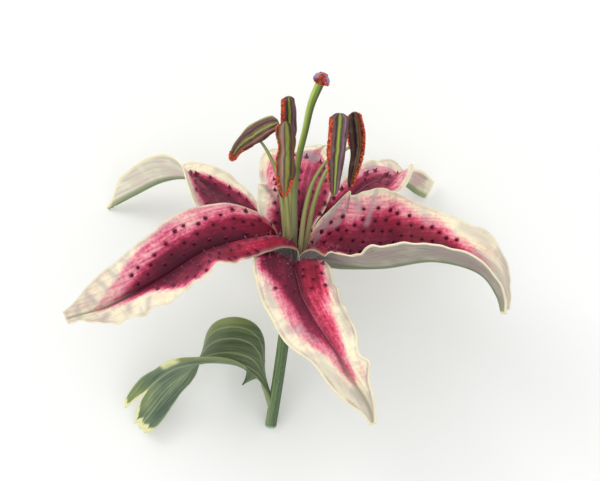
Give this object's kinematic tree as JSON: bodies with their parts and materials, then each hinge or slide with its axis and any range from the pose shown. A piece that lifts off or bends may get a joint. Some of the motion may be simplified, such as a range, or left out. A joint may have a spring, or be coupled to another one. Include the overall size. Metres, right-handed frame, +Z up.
{
  "type": "cut stargazer lily",
  "caption": "Cut stargazer lily lying on its side: open recurved bloom with spotted wavy tepals, long stamens and a pistil, on a short stem with a torn leaf",
  "frame": {"origin": "on the surface the flower lies on, under the middle of its bounding box", "axes": "+Z up from the surface, +X to the right across the bloom and along its longest extent, +Y from the stem's cut end towards the open mouth of the bloom"},
  "size_m": [0.1744, 0.1371, 0.1006],
  "materials": {
    "tepal": "soft petal skin, crimson to pink inside with cream rims, pale grey-white outside",
    "filament": "smooth fleshy olive green",
    "anther": "matt brown-purple with orange-red pollen along the open seams",
    "pistil": "smooth fleshy yellow-green",
    "stigma": "sticky purple with orange-red pollen grains",
    "stem": "satin dark green, fine lengthwise lines",
    "leaf": "satin dark green with pale parallel veins, bluish underside, pale torn end"
  },
  "bodies": {
    "root": {"petal_left_front": "tepal", "petal_right_front": "tepal", "petal_back": "tepal", "sepal_front": "tepal", "sepal_left_back": "tepal", "sepal_right_back": "tepal", "filament_1": "filament", "filament_2": "filament", "filament_3": "filament", "filament_4": "filament", "filament_5": "filament", "filament_6": "filament", "anther_1": "anther", "anther_2": "anther", "anther_3": "anther", "anther_4": "anther", "anther_5": "anther", "anther_6": "anther", "pistil": "pistil", "stigma": "stigma", "stem": "stem", "leaf": "leaf"}
  },
  "joints": []
}
